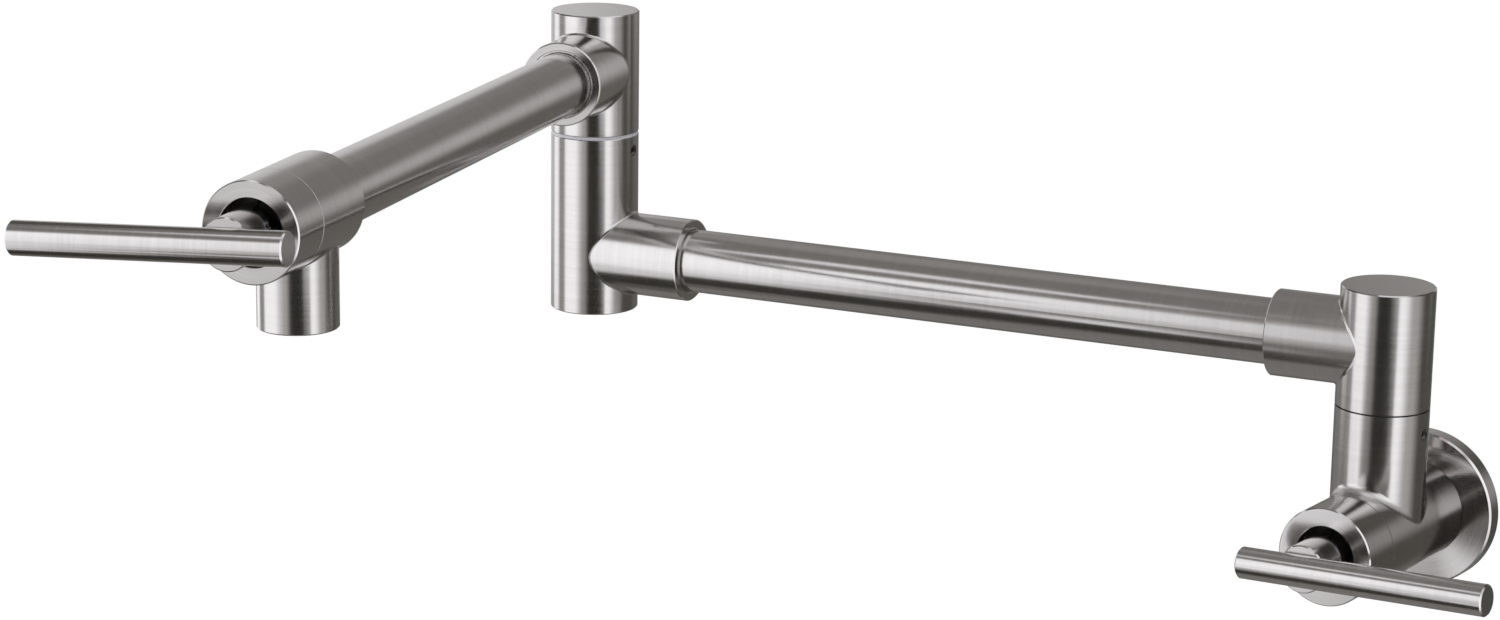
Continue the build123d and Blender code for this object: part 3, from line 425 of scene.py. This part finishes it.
# ---- Wall flange --------------------------------------------------------------------------------
# A hollow cover turned from stainless bar with a shallow cone for its face, brushed round and
# plated in nickel, a little brighter than the rest. A rubber ring inside its hole holds it on the
# body by friction.
nickel_dark, nickel_light = (0.595, 0.575, 0.563), (0.665, 0.645, 0.636)
nickel = (nickel_dark, nickel_light, 0.14, 0.20)
bright_nickel = (nickel_dark, nickel_light, 0.08, 0.13)
cover(turned("bright_nickel_flange", wall_centre, towards_room, *bright_nickel), "wall_flange")
cover(rubber, "flange_oring")

# ---- Wall valve's body and cap ------------------------------------------------------------------
# One casting with its upright column, turned, welded smooth in the corner and brushed round both
# ways, in satin nickel. The cap screws over its nose, with a fine seam behind the front.
column_r, wall_body_r = 0.0160, 0.0169
wall_cap_seam = 0.0608          # from the wall
weld_low, weld_high = 0.010, 0.022


def body_grain(tree, place):
    """Grooves round the lying body below and round the upright column above. One fades into the
    other between the two heights of the weld, where it is dressed smooth."""
    lying = groove_noise(tree, grooves(tree, place, wall_centre, towards_room))
    upright = groove_noise(tree, grooves(tree, place, wall_column, upwards))
    height = step(tree, "SeparateXYZ", place, take="Z")
    rise = step(
        tree, "MapRange", height, weld_low, weld_high, 0.0, 1.0, interpolation_type="SMOOTHSTEP"
    )
    mixed = []
    for low, high in zip(lying, upright):
        apart = step(tree, "Math", high, low, operation="SUBTRACT")
        mixed.append(step(tree, "Math", apart, rise, low, operation="MULTIPLY_ADD"))
    return mixed


def dressed_weld(tree, place):
    """1 on the weld, which stands out from the column's radius and also from the body's, and 0 on
    both of them. It rises from the near to the far distance off each."""
    near, far = 0.00004, 0.0003
    off_column = step(tree, "VectorMath", place, wall_column, operation="SUBTRACT")
    off_column = step(tree, "VectorMath", off_column, (1.0, 1.0, 0.0), operation="MULTIPLY")
    off_column = step(tree, "VectorMath", off_column, operation="LENGTH", take="Value")
    off_column = step(tree, "MapRange", off_column, column_r + near, column_r + far, 0.0, 1.0)
    off_body = step(tree, "VectorMath", place, (1.0, 0.0, 1.0), operation="MULTIPLY")
    off_body = step(tree, "VectorMath", off_body, operation="LENGTH", take="Value")
    off_body = step(tree, "MapRange", off_body, wall_body_r + near, wall_body_r + far, 0.0, 1.0)
    return step(tree, "Math", off_column, off_body, operation="MULTIPLY")


# The seam between the wall valve's body and its cap is darkened in both as painted shade
cover(
    metal_surface(
        "satin_nickel_wall_body", body_grain, lambda tree: 0.0, *nickel,
        lambda tree, place: seam_line(tree, place, wall_centre, towards_room, wall_cap_seam),
        dressed_weld,
    ),
    "wall_valve_body",
)
cover(
    turned("satin_nickel_wall_cap", wall_centre, towards_room, *nickel, wall_cap_seam),
    "wall_valve_cap",
)

# ---- Both valves' cartridges --------------------------------------------------------------------
# Each is a brass housing with two lapped white ceramic discs pressed on a rubber seal, held down by
# a slotted brass nut, coloured near black as painted shade for the dark inside of the cap. The
# turned brass spindle carries the moving disc and has its own rubber ring.
inner_arm_length, outer_arm_length = 0.300, 0.259
wall_cap_front = 0.0783         # from the wall
spout_cap_front = 0.0328        # from the spout's axis
inner_angle, outer_angle = np.radians(189.4), np.radians(286.6)
inner_along = (float(np.cos(inner_angle)), float(np.sin(inner_angle)), 0.0)
outer_along = (float(np.cos(outer_angle)), float(np.sin(outer_angle)), 0.0)
inner_arm_height = (0.0, 0.0, 0.064975)
outer_arm_height = (0.0, 0.0, 0.132375)


def moved(place, *offsets):
    """A place moved by each of these offsets."""
    return tuple(float(sum(parts)) for parts in zip(place, *offsets))


def scaled(direction, length):
    """A direction made this long."""
    return tuple(length * part for part in direction)


elbow_column = moved(wall_column, scaled(inner_along, inner_arm_length))
outlet = moved(elbow_column, scaled(outer_along, outer_arm_length))
outlet_line = moved(outlet, outer_arm_height)
ceramic = soft_surface(
    "white_ceramic", (0.78, 0.78, 0.76), (0.86, 0.86, 0.84), 0.22, 6000.0, 0.000003
)
valves = {
    "wall": (moved(wall_centre, scaled(towards_room, wall_cap_front)), towards_room),
    "spout": (moved(outlet_line, scaled(outer_along, spout_cap_front)), outer_along),
}
# The nuts' near-black colour is painted shade, standing for the shade inside the caps
painted_shade_brass = ((0.045, 0.043, 0.040), (0.10, 0.095, 0.085), 0.34, 0.46)
for valve, (front, facing) in valves.items():
    cover(
        turned(f"turned_brass_{valve}", front, facing, *brass),
        f"{valve}_cartridge_housing", f"{valve}_spindle",
    )
    cover(
        turned(f"painted_shade_brass_{valve}", front, facing, *painted_shade_brass),
        f"{valve}_cartridge_nut",
    )
    cover(ceramic, f"{valve}_fixed_disc", f"{valve}_moving_disc")
    cover(rubber, f"{valve}_cartridge_seal", f"{valve}_spindle_oring")

# ---- Handles ------------------------------------------------------------------------------------
# Each is a turned hub, held on the spindle by a small black grub screw, with a round bar laid
# across its end and fixed by a screw from inside the hub. Both are brushed and satin plated.
bar_reach = 0.0187              # from the cap's front to the middle of the bar
bar_turn = {"wall": np.radians(2.6), "spout": np.radians(182.6)}
for valve, (front, facing) in valves.items():
    level = np.cos(bar_turn[valve]) * np.cross(upwards, facing)
    bar_along = level + np.sin(bar_turn[valve]) * np.array(upwards)
    bar_along = tuple(float(part) for part in bar_along)
    bar_centre = moved(front, scaled(facing, bar_reach))
    cover(
        turned(f"satin_nickel_{valve}_bar", bar_centre, bar_along, *nickel),
        f"{valve}_handle_bar",
    )
    cover(turned(f"satin_nickel_{valve}_hub", front, facing, *nickel), f"{valve}_handle_hub")
    cover(
        turned(f"blackened_screw_{valve}", front, facing, *blackened),
        f"{valve}_bar_screw", f"{valve}_hub_grub",
    )

# ---- Swivels ------------------------------------------------------------------------------------
# A brass spigot turns in each column on two greased rubber rings, over a washer of clear nylon that
# shows as a pale line. Two black grub screws reach into the spigot's groove and stop it lifting.
nylon = soft_surface(
    "clear_nylon", (0.78, 0.77, 0.84), (0.88, 0.87, 0.93), 0.30, 3000.0, 0.000004,
    Transmission_Weight=0.25, IOR=1.53,
)
for swivel, column, grub_along in (
    ("wall", wall_column, along_the_wall),
    ("elbow", elbow_column, inner_along),
):
    cover(
        turned(f"turned_brass_{swivel}_swivel", column, upwards, *brass),
        f"{swivel}_swivel_spigot",
    )
    cover(rubber, f"{swivel}_swivel_orings")
    cover(nylon, f"{swivel}_swivel_washer")
    cover(
        turned(f"blackened_{swivel}_grubs", column, grub_along, *blackened),
        f"{swivel}_swivel_grubs",
    )

# ---- Column heads and the elbow's sleeve --------------------------------------------------------
# Hollow cylinders turned from brass bar, with bevelled rims and flat tops, brushed round and plated
# in satin nickel. The arms' sockets are brazed to their sides.
cover(turned("satin_nickel_wall_column", wall_column, upwards, *nickel), "inner_arm_head")
elbow_nickel = turned("satin_nickel_elbow_column", elbow_column, upwards, *nickel)
cover(elbow_nickel, "elbow_sleeve", "outer_arm_head")

# ---- Sockets, with their brazed joints ----------------------------------------------------------
# Short sleeves, cut at one end to the column's curve and brazed there. A thin fillet of braze metal
# stands in the corner all round, and a finer bead lies in the mouth, against the tube.
inner_socket_r, outer_socket_r = 0.0149, 0.01505
socket_fillet = 0.0009
bead_ring_r, bead_section_r = 0.01177, 0.00036
bead_in = 0.0005                # behind the socket's mouth
spout_cap_seam = 0.2743         # from the elbow's axis, between the spout valve's body and cap
inner_line = moved(wall_column, inner_arm_height)
outer_line = moved(elbow_column, outer_arm_height)
# The outer arm's nickel darkens the spout valve's seam as painted shade
inner_nickel = turned("satin_nickel_inner_arm", inner_line, inner_along, *nickel)
outer_nickel = turned(
    "satin_nickel_outer_arm", outer_line, outer_along, *nickel, spout_cap_seam
)
cover(inner_nickel, "inner_arm_socket", "elbow_socket")
cover(outer_nickel, "outer_arm_socket")
braze_metal = soft_surface(
    "plated_braze", (0.60, 0.585, 0.57), (0.68, 0.665, 0.65), 0.20, 1200.0, 0.00003, Metallic=1.0
)


def unit(vectors):
    """Each vector divided by its length."""
    return vectors / np.linalg.norm(vectors, axis=-1, keepdims=True)


def closed_loop(name, points, body):
    """A ring of closed sections as a mesh: points[i, j] is point j of section i, and both run round
    and meet. The faces are turned outwards, which is so when the volume they enclose, a sixth of
    the sum of each triangle's triple product, is above 0."""
    sections, around = points.shape[:2]
    i, j = np.meshgrid(np.arange(sections), np.arange(around), indexing="ij")
    i_next, j_next = (i + 1) % sections, (j + 1) % around
    faces = np.stack(
        [i * around + j, i_next * around + j, i_next * around + j_next, i * around + j_next],
        axis=-1,
    ).reshape(-1, 4)
    flat = points.reshape(-1, 3)
    inside = flat - flat.mean(axis=0)
    corners = [inside[faces[:, k]] for k in range(4)]
    volume = (corners[0] * np.cross(corners[1], corners[2])).sum()
    volume += (corners[0] * np.cross(corners[2], corners[3])).sum()
    if volume < 0:
        faces = faces[:, ::-1]
    mesh = bpy.data.meshes.new(name)
    mesh.from_pydata(flat, [], faces)
    mesh.shade_smooth()
    mesh.materials.append(braze_metal)
    piece = bpy.data.objects.new(name, mesh)
    bpy.context.scene.collection.objects.link(piece)
    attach(piece, body)


def saddle_fillet(name, body, centre, along, main_axis, main_r, branch_r, size):
    """The fillet in the corner where a branch tube meets a main cylinder. Round the branch by the
    angle a, the corner's line is centre + branch_r (cos a, sin a) in the axes (main axis, across)
    + along times the square root of main_r squared less (branch_r sin a) squared. The section at
    each point is a cove from size up the branch to size along the main cylinder, (1-t) squared on
    one leg and t squared on the other, set 0.02 of size into the metal and closed by one point sunk
    a quarter of size along both normals. The leg's length ripples by up to an eighth, as braze
    does."""
    main_axis, along = np.array(main_axis), np.array(along)
    across = np.cross(along, main_axis)
    a = np.linspace(0, 2 * np.pi, 288, endpoint=False)[:, None]
    reach = np.sqrt(main_r**2 - (branch_r * np.sin(a)) ** 2)
    branch_normal = np.cos(a) * main_axis + np.sin(a) * across
    main_normal = (branch_r * np.sin(a) * across + reach * along) / main_r
    corner = np.array(centre) + branch_r * branch_normal + reach * along
    run = unit(np.cross(branch_normal, main_normal))
    up_branch = unit(along - run * (run @ along)[:, None])
    on_main = branch_normal - main_normal * (branch_normal * main_normal).sum(axis=1, keepdims=True)
    on_main = unit(on_main)
    t = np.linspace(0, 1, 9)[None, :, None]
    leg = size * (1 + 0.07 * np.sin(17 * a) + 0.05 * np.sin(29 * a + 1))[:, None]
    cove = corner[:, None] + leg * ((1 - t) ** 2 * up_branch[:, None] + t**2 * on_main[:, None])
    sunk = -0.25 * size * (branch_normal + main_normal)
    cove = cove + 0.08 * sunk[:, None]
    floor_points = corner[:, None] + sunk[:, None]
    closed_loop(name, np.concatenate([cove, floor_points], axis=1), body)


def mouth_bead(name, body, centre, along):
    """A fine torus round along: the ring's radius (cos a, sin a) plus the section's radius (cos b
    outwards, sin b along), the section rippled by up to a tenth."""
    along = np.array(along)
    side = np.cross(along, upwards)
    top = np.cross(side, along)
    a = np.linspace(0, 2 * np.pi, 240, endpoint=False)[:, None, None]
    b = np.linspace(0, 2 * np.pi, 14, endpoint=False)[None, :, None]
    outward = np.cos(a) * side + np.sin(a) * top
    ripple = bead_section_r * (1 + 0.05 * np.sin(23 * a) + 0.04 * np.sin(41 * a + 2))
    ring = (bead_ring_r + ripple * np.cos(b)) * outward
    closed_loop(name, np.array(centre) + ring + ripple * np.sin(b) * along, body)


backwards = scaled(inner_along, -1.0)
elbow_line = moved(elbow_column, inner_arm_height)
for name, body, line, along, socket_r in (
    ("inner_arm_socket_braze", "inner_arm", inner_line, inner_along, inner_socket_r),
    ("elbow_socket_braze", "inner_arm", elbow_line, backwards, inner_socket_r),
    ("outer_arm_socket_braze", "outer_arm", outer_line, outer_along, outer_socket_r),
):
    saddle_fillet(name, body, line, along, upwards, column_r, socket_r, socket_fillet)
# The last value is how far the socket's mouth is from the column's axis
for name, body, line, along, mouth in (
    ("inner_arm_socket_bead", "inner_arm", inner_line, inner_along, 0.0385),
    ("elbow_socket_bead", "inner_arm", elbow_line, backwards, 0.0402),
    ("outer_arm_socket_bead", "outer_arm", outer_line, outer_along, 0.0355),
):
    mouth_bead(name, body, moved(line, scaled(along, mouth - bead_in)), along)

# ---- Arm tubes ----------------------------------------------------------------------------------
# Drawn brass tube, 22.8 mm across, polished along and then brushed round, and satin plated. Each
# is brazed into its sockets, and the outer one into the back of the spout's valve.
cover(inner_nickel, "inner_arm_tube")
cover(outer_nickel, "outer_arm_tube")

# ---- Spout valve's body and cap -----------------------------------------------------------------
# A turned casting like the wall valve's but smaller, with the arm in its back and the spout brazed
# under it. Its cap screws on the same way, with a fine seam.
spout_bead_back = 0.0146        # from the spout's axis
cover(outer_nickel, "spout_valve_body", "spout_valve_cap")
bead_place = moved(outlet_line, scaled(outer_along, -spout_bead_back))
mouth_bead("spout_valve_bead", "outer_arm", bead_place, outer_along)

# ---- Spout tube and aerator ---------------------------------------------------------------------
# A short straight tube brazed upright under the valve's body. In its mouth sits a brass housing
# with a rubber washer and a grey plastic screen that makes the stream soft.
spout_body_r, spout_r = 0.0159, 0.01265
spout_fillet = 0.0007
downwards = (0.0, 0.0, -1.0)
cover(turned("satin_nickel_spout", outlet, upwards, *nickel), "spout_tube")
saddle_fillet(
    "spout_braze", "outer_arm", outlet_line, downwards, outer_along, spout_body_r, spout_r,
    spout_fillet,
)
cover(turned("turned_brass_aerator", outlet, upwards, *brass), "aerator_housing")
cover(
    soft_surface("grey_plastic", (0.20, 0.20, 0.21), (0.30, 0.30, 0.31), 0.40, 5000.0, 0.000006),
    "aerator_screen",
)
cover(rubber, "aerator_washer")
